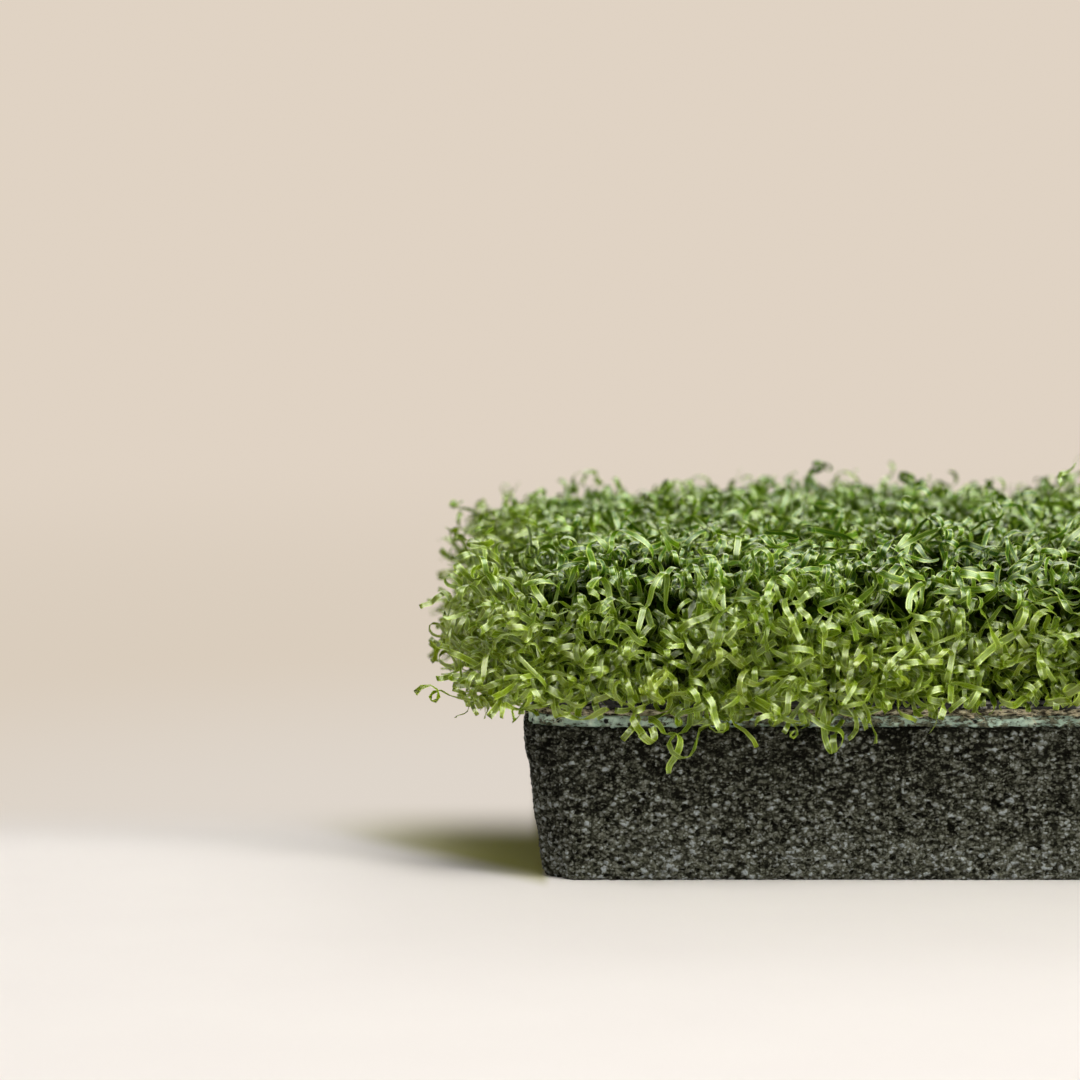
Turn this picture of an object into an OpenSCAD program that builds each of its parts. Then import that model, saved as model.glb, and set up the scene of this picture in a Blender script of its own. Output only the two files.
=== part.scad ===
// Golf hitting mat, cut-edge block: a foam pad with a tufted, curly ribbon pile
// laminated on top. Millimetres, +Z up. The origin is the centre of the underside.
// X runs along the tuft rows and Y across them.

/* [Mat] */
// Length of the block along X, at the top of the foam
mat_len = 152.4; // [80:0.1:300]
// Depth of the block along Y, at the top of the foam
mat_dep = 101.6; // [60:0.1:200]
// Radius of the four upright corners, at the top of the foam
corner_r = 6.5; // [4:0.5:7]

/* [Foam base] */
// Thickness of the foam pad
foam_t = 19; // [10:0.5:30]
// How far each cut side runs in from the top of the foam to its underside
undercut = 2.5; // [0.5:0.1:3]

/* [Backing] */
// How far the turf layers stop short of the foam's top edge
turf_inset = 1; // [0:0.1:3]
// Thickness of the adhesive film that holds the turf on the foam
film_t = 1.3; // [0.6:0.1:3]
// Thickness of the latex coat under the woven cloth
coat_t = 0.8; // [0.6:0.1:2]
// Thickness of the woven cloth that the yarn is stitched through
cloth_t = 1.1; // [0.5:0.1:2]

/* [Pile] */
// Height of the pile above the cloth
pile_h = 18; // [8:0.5:30]
// Distance between neighbouring tuft rows
row_gauge = 4.76; // [4.2:0.01:10]
// Distance between stitches in a row
stitch_pitch = 4; // [4:0.1:10]
// Least distance from the cloth's cut edge to a tuft
edge_margin = 2; // [1.5:0.1:6]
// Lean of the outermost tufts
edge_lean = 36; // [0:1:40]
// Distance inwards from the outermost tufts over which the lean dies away
lean_reach = 12; // [5:1:30]

/* [Hidden] */
$fn = 32;
// Radius of a tuft where it leaves the cloth
root_r = 0.9;
// Radius of a tuft at its tip, where its ribbons have opened out
tip_r = 1.85;
// Upright stem between the cloth and the flared part of a tuft
stem_h = 1.5;
// Gap all round a tuft in its stitch hole
hole_gap = 0.05;
// Width and thickness of the yarn's run along the underside of the cloth
run_w = 1.6;
run_t = 0.5;
// Gap all round that run in its groove in the latex
groove_gap = 0.05;
// Overlap that makes a cut pass through a face, or a stem join its run
cut_over = 0.2;

cloth_len = mat_len - 2 * turf_inset;
cloth_dep = mat_dep - 2 * turf_inset;
cloth_r = corner_r - turf_inset;
film_z = foam_t;
coat_z = film_z + film_t;
cloth_z = coat_z + coat_t;
pile_z = cloth_z + cloth_t;

rows = floor((cloth_dep - 2 * edge_margin) / row_gauge) + 1;
stitches = floor((cloth_len - 2 * edge_margin) / stitch_pitch) + 1;

// Places of the rows along Y and of the stitches along X, both centred
function row_y(i) = (i - (rows - 1) / 2) * row_gauge;
function stitch_x(j) = (j - (stitches - 1) / 2) * stitch_pitch;

// Lean of a tuft at place p, where the outermost tuft of that line is at last
function lean(p, last) =
    sign(p) * edge_lean * max(0, 1 - (last - abs(p)) / lean_reach);

function row_name(i) = str("yarn_row_", i < 9 ? "0" : "", i + 1);

// A side profile that is len wide at the top and 2 * undercut less at the bottom
module undercut_profile(len) {
    polygon([
        [-len / 2 + undercut, 0],
        [len / 2 - undercut, 0],
        [len / 2, foam_t],
        [-len / 2, foam_t]
    ]);
}

// Calls its children at the centres of the four corner radii
module at_corners(len, dep, r) {
    for (sx = [-1, 1], sy = [-1, 1])
        translate([sx * (len / 2 - r), sy * (dep / 2 - r), 0]) children();
}

// A flat slab with rounded upright corners
module slab(len, dep, t, r) {
    linear_extrude(t) {
        square([len, dep - 2 * r], center = true);
        square([len - 2 * r, dep], center = true);
        at_corners(len, dep, r) circle(r);
    }
}

// Foam pad: every side is cut on the slant, so the underside is the smaller face
module foam_base() {
    color("#2b2e2a") {
        rotate([90, 0, 0])
            linear_extrude(mat_dep - 2 * corner_r, center = true) undercut_profile(mat_len);
        rotate([90, 0, 90])
            linear_extrude(mat_len - 2 * corner_r, center = true) undercut_profile(mat_dep);
        at_corners(mat_len, mat_dep, corner_r)
            cylinder(h = foam_t, r1 = corner_r - undercut, r2 = corner_r);
    }
}

// Grey-green adhesive film between the foam and the turf
module adhesive_film() {
    color("#8fa595")
        translate([0, 0, film_z]) slab(cloth_len, cloth_dep, film_t, cloth_r);
}

// Latex coat that locks the stitches: one groove for each yarn's run
module latex_coat() {
    groove_len = (stitches - 1) * stitch_pitch + run_w + 2 * groove_gap;
    groove_w = run_w + 2 * groove_gap;
    groove_d = run_t + groove_gap;
    color("#c9b795")
        difference() {
            translate([0, 0, coat_z]) slab(cloth_len, cloth_dep, coat_t, cloth_r);
            for (i = [0 : rows - 1])
                translate([-groove_len / 2, row_y(i) - groove_w / 2, cloth_z - groove_d])
                    cube([groove_len, groove_w, groove_d + cut_over]);
        }
}

// Woven cloth, with a stitch hole for every tuft
module backing_cloth() {
    color("#1d1e1c")
        difference() {
            translate([0, 0, cloth_z]) slab(cloth_len, cloth_dep, cloth_t, cloth_r);
            for (i = [0 : rows - 1], j = [0 : stitches - 1])
                translate([stitch_x(j), row_y(i), cloth_z - cut_over])
                    cylinder(h = cloth_t + 2 * cut_over, r = root_r + hole_gap);
        }
}

// One tuft: a stem up through the cloth, then a flare that may lean outwards
module tuft(lean_x, lean_y) {
    below = cloth_t + run_t / 2;
    translate([0, 0, -below]) cylinder(h = below + stem_h, r = root_r);
    translate([0, 0, stem_h]) rotate([-lean_y, lean_x, 0])
        cylinder(h = pile_h - stem_h, r1 = root_r, r2 = tip_r);
}

// One yarn: its run under the cloth and all of its tufts, in one piece
module yarn_row(i) {
    run_len = (stitches - 1) * stitch_pitch + run_w;
    color("#5f8a35") {
        translate([-run_len / 2, row_y(i) - run_w / 2, cloth_z - run_t])
            cube([run_len, run_w, run_t]);
        for (j = [0 : stitches - 1])
            translate([stitch_x(j), row_y(i), pile_z])
                tuft(lean(stitch_x(j), stitch_x(stitches - 1)), lean(row_y(i), row_y(rows - 1)));
    }
}

foam_base();
adhesive_film();
latex_coat();
backing_cloth();
for (i = [0 : rows - 1]) yarn_row(i);
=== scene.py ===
"""The looks of the golf hitting mat: a foam block with a curly ribbon pile laminated on top.

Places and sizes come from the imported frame. Arrays hold millimetres; new_piece() turns them into metres.
+X runs along the yarn rows, +Y goes away from the camera and +Z is up.
"""
import math
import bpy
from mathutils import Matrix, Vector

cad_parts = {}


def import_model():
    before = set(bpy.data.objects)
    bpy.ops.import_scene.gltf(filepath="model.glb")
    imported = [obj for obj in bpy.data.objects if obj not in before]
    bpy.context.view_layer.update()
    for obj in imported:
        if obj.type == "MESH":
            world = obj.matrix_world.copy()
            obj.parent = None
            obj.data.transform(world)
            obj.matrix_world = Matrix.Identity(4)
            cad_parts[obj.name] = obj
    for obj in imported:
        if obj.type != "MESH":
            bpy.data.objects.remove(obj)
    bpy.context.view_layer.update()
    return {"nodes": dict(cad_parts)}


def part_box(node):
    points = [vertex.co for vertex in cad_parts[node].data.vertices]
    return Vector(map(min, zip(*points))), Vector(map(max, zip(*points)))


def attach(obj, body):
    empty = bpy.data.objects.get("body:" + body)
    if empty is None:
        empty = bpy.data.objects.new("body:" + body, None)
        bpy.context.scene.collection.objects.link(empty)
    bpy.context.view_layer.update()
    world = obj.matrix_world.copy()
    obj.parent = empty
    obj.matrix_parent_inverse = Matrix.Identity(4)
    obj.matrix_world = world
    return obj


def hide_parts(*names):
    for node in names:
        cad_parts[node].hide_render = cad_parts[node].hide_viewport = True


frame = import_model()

from types import SimpleNamespace

import bpy
import numpy as np
from mathutils import Vector

MM = 0.001

# ---------------- what the frame says, in millimetres

STITCH_PITCH = 4.0
RUN_BELOW_CLOTH = 0.3


def node_points(node):
    """The vertices of a CAD node."""
    mesh = frame["nodes"][node].data
    points = np.empty(len(mesh.vertices) * 3)
    mesh.vertices.foreach_get("co", points)
    return points.reshape(-1, 3) / MM


def box_mm(node):
    """Lowest and highest corner of a CAD node."""
    low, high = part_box(node)
    return np.array(low) / MM, np.array(high) / MM


def run_of(node):
    """Middle of a yarn's run under the cloth, across the rows, and the run's half length."""
    points = node_points(node)
    run = points[points[:, 2] < CLOTH_LOW[2] - RUN_BELOW_CLOTH]
    return (run[:, 1].min() + run[:, 1].max()) / 2, run[:, 0].max()


ROW_NODES = sorted(n for n in frame["nodes"] if n.startswith("yarn_row_"))
FOAM_LOW, FOAM_HIGH = box_mm("foam_base")
FILM_LOW, FILM_HIGH = box_mm("adhesive_film")
LATEX_LOW, LATEX_HIGH = box_mm("latex_coat")
CLOTH_LOW, CLOTH_HIGH = box_mm("backing_cloth")
FOAM_THICKNESS = FOAM_HIGH[2] - FOAM_LOW[2]
CLOTH_TOP = CLOTH_HIGH[2]
PILE_TOP = max(box_mm(n)[1][2] for n in ROW_NODES)
PILE_HEIGHT = PILE_TOP - CLOTH_TOP

# The foam's sides run in towards the underside; its corner radius shrinks by the same amount.
FOAM_POINTS = node_points("foam_base")
UNDERCUT = FOAM_HIGH[0] - FOAM_POINTS[FOAM_POINTS[:, 2] < FOAM_LOW[2] + 0.1][:, 0].max()
CORNER_X = FOAM_POINTS[FOAM_POINTS[:, 1] > FOAM_HIGH[1] - 0.01][:, 0].max()
CORNER_R = FOAM_HIGH[0] - CORNER_X
CORNER_Y = FOAM_HIGH[1] - CORNER_R
TURF_INSET = FOAM_HIGH[0] - CLOTH_HIGH[0]

# ---------------- directions

UP = np.array([0.0, 0.0, 1.0])


def unit(v):
    return v / np.maximum(np.linalg.norm(v, axis=-1, keepdims=True), 1e-9)


def dot(a, b):
    return (a * b).sum(-1, keepdims=True)


def turned(a, b, angle):
    """Directions a turned towards b, which is square to a, by an angle."""
    return a * np.cos(angle) + b * np.sin(angle)


def level(angle):
    """Level directions at a column of angles from +X."""
    return np.hstack([np.cos(angle), np.sin(angle), np.zeros_like(angle)])


# ---------------- meshes


def new_piece(name, points, faces, material, node, slot):
    """A piece that stands for a CAD node. faces is a list of index arrays, each of one face size."""
    mesh = bpy.data.meshes.new(name)
    sizes = np.concatenate([np.full(len(f), f.shape[1]) for f in faces])
    corners = np.concatenate([f.ravel() for f in faces])
    starts = np.concatenate([[0], np.cumsum(sizes)[:-1]])
    mesh.vertices.add(len(points))
    mesh.vertices.foreach_set("co", (points * MM).astype(np.float32).ravel())
    mesh.loops.add(len(corners))
    mesh.loops.foreach_set("vertex_index", corners.astype(np.int32))
    mesh.polygons.add(len(sizes))
    mesh.polygons.foreach_set("loop_start", starts.astype(np.int32))
    mesh.update(calc_edges=True)
    mesh.validate()
    mesh.polygons.foreach_set("use_smooth", np.full(len(mesh.polygons), True))
    mesh.materials.append(material)
    piece = bpy.data.objects.new(name, mesh)
    bpy.context.scene.collection.objects.link(piece)
    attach(piece, "root")
    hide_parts(node)
    return piece


def point_numbers(piece, name, *four):
    """Stores four numbers per vertex for a material to read. The arrays broadcast to the vertices."""
    values = np.stack(np.broadcast_arrays(*four), -1)
    layer = piece.data.color_attributes.new(name, "FLOAT_COLOR", "POINT")
    layer.data.foreach_set("color", values.astype(np.float32).ravel())


# ---------------- noise

CELL_PRIMES = (73856093, 19349663, 83492791)
SEED_PRIME = 2654435761
MIX_PRIMES = (2246822519, 3266489917)
NEXT_DRAW = 0x9E3779B9
KEPT_BITS = 0xFFFFFFFF
USED_BITS = 0xFFFFFF


def hashed(cells, seed):
    """Three even random numbers from 0 to 1 for each row of whole-number cell places."""
    c = cells.astype(np.int64)
    h = seed * SEED_PRIME
    for axis, prime in enumerate(CELL_PRIMES):
        h = h ^ c[..., axis] * prime
    out = []
    for draw in range(3):
        h = (h ^ (h >> 15)) * MIX_PRIMES[0] & KEPT_BITS
        h = (h ^ (h >> 13)) * MIX_PRIMES[1] & KEPT_BITS
        h = h ^ (h >> 16)
        out.append((h & USED_BITS) / float(USED_BITS))
        h = h + NEXT_DRAW * (draw + 1)
    return np.stack(out, -1)


def cell_noise(points, size, seed):
    """Distance to the nearest and the second nearest cell centre, and the nearest cell's own number."""
    p = points / size
    base = np.floor(p)
    first = np.full(len(p), 9.0)
    second = np.full(len(p), 9.0)
    owner = np.zeros(len(p))
    for shift in np.ndindex(3, 3, 3):
        cell = base + np.subtract(shift, 1)
        rnd = hashed(cell, seed)
        d = np.linalg.norm(cell + rnd - p, axis=1)
        nearer = d < first
        second = np.where(nearer, first, np.minimum(second, d))
        owner = np.where(nearer, rnd[:, 0], owner)
        first = np.where(nearer, d, first)
    return first * size, second * size, owner


def value_noise(points, size, seed):
    """Smooth noise from -1 to 1 with features of about that size."""
    p = points / size
    base = np.floor(p)
    f = p - base
    f = f * f * (3 - 2 * f)
    total = np.zeros(len(p))
    for shift in np.ndindex(2, 2, 2):
        weight = np.where(shift, f, 1 - f).prod(axis=1)
        total += weight * hashed(base + shift, seed)[:, 0]
    return total * 2 - 1


# ---------------- outlines


def perimeter(spacing):
    """Points round the mat: the centre that each sits on and its outward direction, in order."""
    centres, normals = [], []
    corners = [(1, -1), (1, 1), (-1, 1), (-1, -1)]
    quarter = math.pi / 2
    arc_steps = max(4, round(CORNER_R * quarter / spacing))
    for i, corner in enumerate(corners):
        here = np.array(corner) * (CORNER_X, CORNER_Y)
        after = np.array(corners[(i + 1) % len(corners)]) * (CORNER_X, CORNER_Y)
        start = (i - 1) * quarter
        facing = start + quarter
        for a in np.linspace(start, facing, arc_steps, endpoint=False):
            centres.append(here)
            normals.append((math.cos(a), math.sin(a)))
        straight_steps = round(np.linalg.norm(after - here) / spacing)
        for t in np.arange(straight_steps) / straight_steps:
            centres.append(here + (after - here) * t)
            normals.append((math.cos(facing), math.sin(facing)))
    return np.array(centres), np.array(normals)


def run_round(centres, normals):
    """Distance travelled round the outline at each point."""
    points = centres + normals * CORNER_R
    steps = np.linalg.norm(np.diff(points, axis=0), axis=1)
    return np.concatenate([[0], np.cumsum(steps)])


def outline_distance(x, y, inset, radius):
    """Distance outside the mat's rounded outline moved in by inset, and the outward direction.

    The distance is below 0 inside.
    """
    half_x, half_y = FOAM_HIGH[0] - inset, FOAM_HIGH[1] - inset
    qx, qy = np.abs(x) - (half_x - radius), np.abs(y) - (half_y - radius)
    ox, oy = np.maximum(qx, 0), np.maximum(qy, 0)
    length = np.hypot(ox, oy)
    distance = length + np.minimum(np.maximum(qx, qy), 0) - radius
    in_corner = length > 1e-6
    safe = np.maximum(length, 1e-6)
    nx = np.where(in_corner, ox / safe, (qx > qy).astype(float)) * np.sign(x)
    ny = np.where(in_corner, oy / safe, (qx <= qy).astype(float)) * np.sign(y)
    return distance, nx, ny


def skin_faces(rows, columns):
    """Quads of a closed band of rows, and one face that closes each end."""
    r, c = np.meshgrid(np.arange(rows - 1), np.arange(columns), indexing="ij")
    a = r * columns + c
    b = r * columns + (c + 1) % columns
    quads = np.stack([a, b, b + columns, a + columns], -1).reshape(-1, 4)
    bottom = np.arange(columns)[::-1][None, :]
    top = ((rows - 1) * columns + np.arange(columns))[None, :]
    return [quads, bottom, top]


def band(centres, normals, radii, heights):
    """Points of a band: radii and heights are rows by columns."""
    xy = centres[None, :, :] + normals[None, :, :] * radii[..., None]
    return np.concatenate([xy, heights[..., None]], -1)


# ---------------- node trees


class Nodes:
    """Short hands for building one node tree."""

    def __init__(self, tree):
        self.tree = tree

    def put(self, socket, value):
        """Links or sets one input. A colour of three numbers gets alpha 1."""
        if isinstance(value, bpy.types.NodeSocket):
            self.tree.links.new(value, socket)
        elif socket.type == "RGBA" and len(value) == 3:
            socket.default_value = (*value, 1.0)
        else:
            socket.default_value = value

    def add(self, kind, values=(), **settings):
        """A new node. values holds its inputs by number or name."""
        node = self.tree.nodes.new("ShaderNode" + kind)
        for key, value in settings.items():
            setattr(node, key, value)
        for key, value in dict(values).items():
            self.put(node.inputs[key], value)
        return node

    def math(self, operation, a, b=0.0):
        return self.add("Math", {0: a, 1: b}, operation=operation).outputs[0]

    def scaled(self, value, factor, plus=0.0):
        return self.add("Math", {0: value, 1: factor, 2: plus}, operation="MULTIPLY_ADD").outputs[0]

    def vector(self, operation, a, b=(0.0, 0.0, 0.0)):
        return self.add("VectorMath", {0: a, 1: b}, operation=operation).outputs[0]

    def along(self, vector, direction):
        """How far a place lies along a direction."""
        return self.add("VectorMath", {0: vector, 1: direction}, operation="DOT_PRODUCT").outputs["Value"]

    def mix(self, factor, a, b):
        return self.add("Mix", {0: factor, 6: a, 7: b}, data_type="RGBA").outputs[2]

    def step(self, value, low, high, to_low=0.0, to_high=1.0):
        """A smooth step from to_low at low to to_high at high."""
        values = {0: value, 1: low, 2: high, 3: to_low, 4: to_high}
        return self.add("MapRange", values, interpolation_type="SMOOTHSTEP").outputs[0]

    def ramp(self, factor, *stops):
        """A colour ramp. Each stop is a place and a colour."""
        node = self.add("ValToRGB", {0: factor})
        elements = node.color_ramp.elements
        while len(elements) < len(stops):
            elements.new(0.5)
        for element, (place, colour) in zip(elements, stops):
            element.position = place
            element.color = (*colour, 1.0)
        return node.outputs[0]

    def split(self, colour):
        return self.add("SeparateColor", {0: colour}).outputs

    def stored(self, name):
        """The four numbers that point_numbers() stored."""
        node = self.add("Attribute", attribute_name=name)
        return (*self.split(node.outputs["Color"]), node.outputs["Alpha"])

    def place(self, scale=(1.0, 1.0, 1.0)):
        """Object coordinates in millimetres, stretched by scale."""
        coords = self.add("TexCoord").outputs["Object"]
        return self.vector("MULTIPLY", coords, tuple(s / MM for s in scale))

    def warped(self, vector, scale, amount):
        """The same places, each pushed aside by a noise."""
        push = self.add("TexNoise", {"Vector": vector, "Scale": scale, "Detail": 3.0}).outputs["Color"]
        push = self.vector("SUBTRACT", push, (0.5, 0.5, 0.5))
        return self.vector("ADD", vector, self.vector("MULTIPLY", push, (amount, amount, amount)))

    def noise(self, vector, scale, detail=2.0, roughness=0.5):
        values = {"Vector": vector, "Scale": scale, "Detail": detail, "Roughness": roughness}
        return self.add("TexNoise", values).outputs["Fac"]

    def cells(self, vector, scale):
        """A pattern of cells: distance from the nearest centre, and each cell's own colour."""
        node = self.add("TexVoronoi", {"Vector": vector, "Scale": scale}, feature="F1")
        return node.outputs["Distance"], node.outputs["Color"]

    def bump(self, height, depth_mm, strength):
        values = {"Height": height, "Distance": depth_mm * MM, "Strength": strength}
        return self.add("Bump", values).outputs[0]


class Surface(Nodes):
    """One material and its node tree."""

    def __init__(self, name):
        self.material = bpy.data.materials.new(name)
        self.material.use_nodes = True
        super().__init__(self.material.node_tree)
        self.principled = self.tree.nodes["Principled BSDF"]

    def finish(self, colour, roughness, specular, normal=None):
        inputs = self.principled.inputs
        self.put(inputs["Base Color"], colour)
        self.put(inputs["Roughness"], roughness)
        self.put(inputs["Specular IOR Level"], specular)
        if normal is not None:
            self.put(inputs["Normal"], normal)
        return self.material

    def mix_in(self, factor, shader):
        """Mixes another shader into the finished surface."""
        values = {0: factor, 1: self.principled.outputs[0], 2: shader.outputs[0]}
        mixed = self.add("MixShader", values).outputs[0]
        self.put(self.tree.nodes["Material Output"].inputs["Surface"], mixed)


# ---------------- materials

RIBBON_SHADES = ((0.0, (0.020, 0.094, 0.000)), (0.5, (0.072, 0.208, 0.000)), (1.0, (0.190, 0.372, 0.002)))
RIBBON_WARM_HUE_AND_LIGHT = (0.250, 0.335, 0.004)
RIBBON_BORDER_AND_SHEEN = (0.570, 0.740, 0.100)
RIBBON_PAINTED_SHADE = (0.010, 0.026, 0.000)
RIBBON_THROUGH = (0.48, 0.62, 0.02)
RIBBON_LETS_THROUGH = 0.28


def pile_material():
    """Extruded nylon ribbon: green with drawn lines, and some light comes through. Light is also painted
    in: pale borders, a sheen where a ribbon is edge-on, warmth low on the outside and shade deep in the
    pile.
    """
    n = Surface("pile_ribbon")
    # fibre holds each ribbon's tone, how open to the light each point is (this sets the painted shade),
    # where it lies across the ribbon, and its painted warm light.
    tone, open_to_light, across, outer = n.stored("fibre_and_painted_light")
    along, phase, hue, _ = n.stored("strand")
    from_middle = n.math("ABSOLUTE", n.math("SUBTRACT", across, 0.5))
    edge_on = n.add("LayerWeight", {"Blend": 0.5}).outputs["Facing"]
    # Painted light: pale borders where light comes through the thin edges, and a painted sheen where a
    # ribbon is seen edge-on.
    border = n.math("MAXIMUM", n.step(from_middle, 0.32, 0.43), n.step(edge_on, 0.80, 0.95))
    drawn = {0: n.scaled(across, 6.0), 1: n.scaled(along, 0.45), 2: n.scaled(phase, 90.0)}
    lines = n.noise(n.add("CombineXYZ", drawn).outputs[0], 1.6, detail=3.0, roughness=0.6)
    shade = n.math("ADD", tone, n.scaled(n.math("SUBTRACT", lines, 0.5), 1.4))
    # Painted warm light low on the outside of the pile and at its ends, plus a warmer hue on some ribbons.
    warm_hue_and_light = n.math("ADD", n.scaled(outer, 0.60), n.scaled(n.step(hue, 0.55, 1.0), 0.35))
    body = n.mix(warm_hue_and_light, n.ramp(shade, *RIBBON_SHADES), RIBBON_WARM_HUE_AND_LIGHT)
    colour = n.mix(n.scaled(border, 0.92), body, RIBBON_BORDER_AND_SHEEN)
    # Painted shade: the colour turns dark deep inside the pile, where little light reaches.
    open_to_light = n.step(open_to_light, 0.25, 0.95)
    colour = n.mix(open_to_light, n.mix(0.94, colour, RIBBON_PAINTED_SHADE), colour)
    normal = n.bump(lines, 0.05, 0.7)
    n.finish(colour, n.scaled(lines, 0.22, 0.16), open_to_light, normal)
    glow = n.mix(n.scaled(open_to_light, 0.5), colour, RIBBON_THROUGH)
    n.mix_in(RIBBON_LETS_THROUGH, n.add("BsdfTranslucent", {"Color": glow, "Normal": normal}))
    return n.material


FOAM_SHADES = (
    (0.30, (0.0045, 0.0045, 0.0028)),
    (0.43, (0.022, 0.023, 0.015)),
    (0.56, (0.056, 0.058, 0.040)),
    (0.69, (0.100, 0.106, 0.084)),
    (0.88, (0.230, 0.258, 0.258)),
)
# Scale and weight of the two patterns of flecks
FOAM_FLECKS = ((1.65, 0.38), (3.0, 0.34))


def foam_material():
    """Charcoal cellular foam flecked with grey, with painted glints, painted shade in the opened cells and
    painted floor light that makes it lighter towards the foot.
    """
    n = Surface("foam_cells")
    pit_shade, low, _, _ = n.stored("cell")
    place = n.warped(n.place((0.88, 0.88, 1.15)), 1.3, 0.5)
    fine = n.noise(place, 2.6, detail=4.0, roughness=0.7)
    broad = n.noise(place, 0.55)
    grain = n.scaled(fine, 0.54)
    for scale, weight in FOAM_FLECKS:
        distance, own = n.cells(place, scale)
        fleck = n.step(distance, 0.22, 0.90, weight, 0.0)
        grain = n.math("ADD", grain, n.math("MULTIPLY", fleck, n.split(own)[0]))
    # Sparse bright specks: painted glints.
    distance, own = n.cells(place, 1.15)
    glints = n.step(n.split(own)[1], 0.72, 0.92)
    grain = n.math("ADD", grain, n.math("MULTIPLY", glints, n.step(distance, 0.10, 0.60, 0.42, 0.0)))
    grain = n.math("ADD", grain, n.scaled(n.math("SUBTRACT", broad, 0.5), 0.44))
    # Painted light from the floor: lighter towards the foot.
    grain = n.math("ADD", grain, n.scaled(low, 0.17, -0.012))
    # Painted shade in the opened cells.
    grain = n.math("SUBTRACT", grain, n.scaled(pit_shade, 0.22))
    colour = n.ramp(grain, *FOAM_SHADES)
    specular = n.step(grain, 0.35, 0.85, 0.02, 0.35)
    return n.finish(colour, n.scaled(fine, 0.4, 0.35), specular, n.bump(grain, 0.30, 0.9))


FILM_SHADES = ((0.30, (0.300, 0.425, 0.345)), (0.52, (0.540, 0.700, 0.580)), (0.75, (0.800, 0.880, 0.700)))
CRUMB_SHADES = ((0.35, (0.020, 0.022, 0.013)), (0.70, (0.270, 0.280, 0.180)))
PORE_COLOUR = (0.012, 0.014, 0.011)
# Distances from the left end between which the crumbs grow thicker
CRUMBS_GROW = (8.0, 18.0)


def film_material():
    """Grey-green hot-melt adhesive: satin, mottled, pierced by pores and patched with foam crumbs."""
    n = Surface("adhesive_teal")
    place = n.place()
    mottle = n.noise(place, 0.9, detail=4.0, roughness=0.6)
    thicker = n.step(n.along(place, (1.0, 0.0, 0.0)), *(FILM_LOW[0] + d for d in CRUMBS_GROW), 0.0, 0.07)
    crumbs = n.noise(n.place((0.42, 0.42, 1.1)), 1.0, detail=5.0, roughness=0.75)
    crumbs = n.step(n.math("ADD", crumbs, thicker), 0.53, 0.59)
    grit = n.ramp(n.noise(place, 2.2, detail=3.0), *CRUMB_SHADES)
    colour = n.mix(crumbs, n.ramp(mottle, *FILM_SHADES), grit)
    distance, _ = n.cells(place, 0.62)
    pores = n.step(distance, 0.15, 0.24, 1.0, 0.0)
    colour = n.mix(pores, colour, PORE_COLOUR)
    height = n.math("SUBTRACT", n.scaled(mottle, 0.6), n.math("ADD", pores, n.scaled(crumbs, 0.4)))
    return n.finish(colour, n.scaled(mottle, 0.3, 0.30), 0.15, n.bump(height, 0.25, 0.9))


LATEX_SHADES = (
    (0.39, (0.012, 0.011, 0.008)),
    (0.46, (0.140, 0.118, 0.070)),
    (0.54, (0.620, 0.540, 0.350)),
    (0.65, (0.920, 0.860, 0.650)),
)
LATEX_THREAD = (0.740, 0.680, 0.460)


def latex_material():
    """Dried cream latex, torn into strands with dark gaps between them, and cream threads."""
    n = Surface("latex_tan")
    thread = n.stored("stub")[0]
    torn = n.noise(n.place((0.7, 0.7, 2.4)), 1.3, detail=5.0, roughness=0.7)
    colour = n.mix(thread, n.ramp(torn, *LATEX_SHADES), LATEX_THREAD)
    return n.finish(colour, n.scaled(torn, 0.3, 0.55), 0.3, n.bump(torn, 0.3, 1.0))


CLOTH_SHADES = (
    (0.35, (0.005, 0.005, 0.004)),
    (0.60, (0.020, 0.020, 0.017)),
    (0.74, (0.110, 0.105, 0.090)),
    (0.84, (0.400, 0.390, 0.340)),
)


def cloth_material():
    """Black woven polypropylene tape, with a painted glint on its cut ends and painted shade on its top,
    under the pile.
    """
    n = Surface("backing_black")
    stub = n.stored("stub")[0]
    fine = n.noise(n.place((1.0, 1.0, 0.7)), 3.2, detail=4.0, roughness=0.7)
    facing = n.add("SeparateXYZ", {0: n.add("NewGeometry").outputs["True Normal"]}).outputs[2]
    # Painted shade on the faces that look up, under the pile.
    shaded_top = n.step(facing, 0.6, 0.9)
    # stub carries the painted glints on the tape ends, and the paler threads.
    lit = n.math("ADD", fine, n.scaled(stub, 0.30))
    lit = n.math("SUBTRACT", lit, n.scaled(shaded_top, 0.35))
    colour = n.ramp(lit, *CLOTH_SHADES)
    specular = n.scaled(shaded_top, -0.4, 0.4)
    return n.finish(colour, n.scaled(fine, 0.4, 0.25), specular, n.bump(fine, 0.12, 0.8))


# ---------------- foam

FOAM_SEED = 11
# Spacing of the net over the foam's cut sides, size of its cells and thickness of the skins between them
FOAM_NET = 0.27
FOAM_CELL = 0.72
CELL_SKIN = 0.28
CELL_STRETCH = (0.85, 0.85, 1.30)
# Depth of the shallowest opened cell, and how much deeper the deepest is
CELL_DEPTH = 0.10
CELL_DEEPER = 0.70
# How far the top edge is chipped away, the foot is rounded, and the corners draw in at the foot
TOP_CHIP = 0.65
TOP_CHIP_REACH = 0.8
FOOT_ROUND = 0.35
FOOT_SETBACK = 0.9
FOAM_SWELL = 0.14


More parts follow.
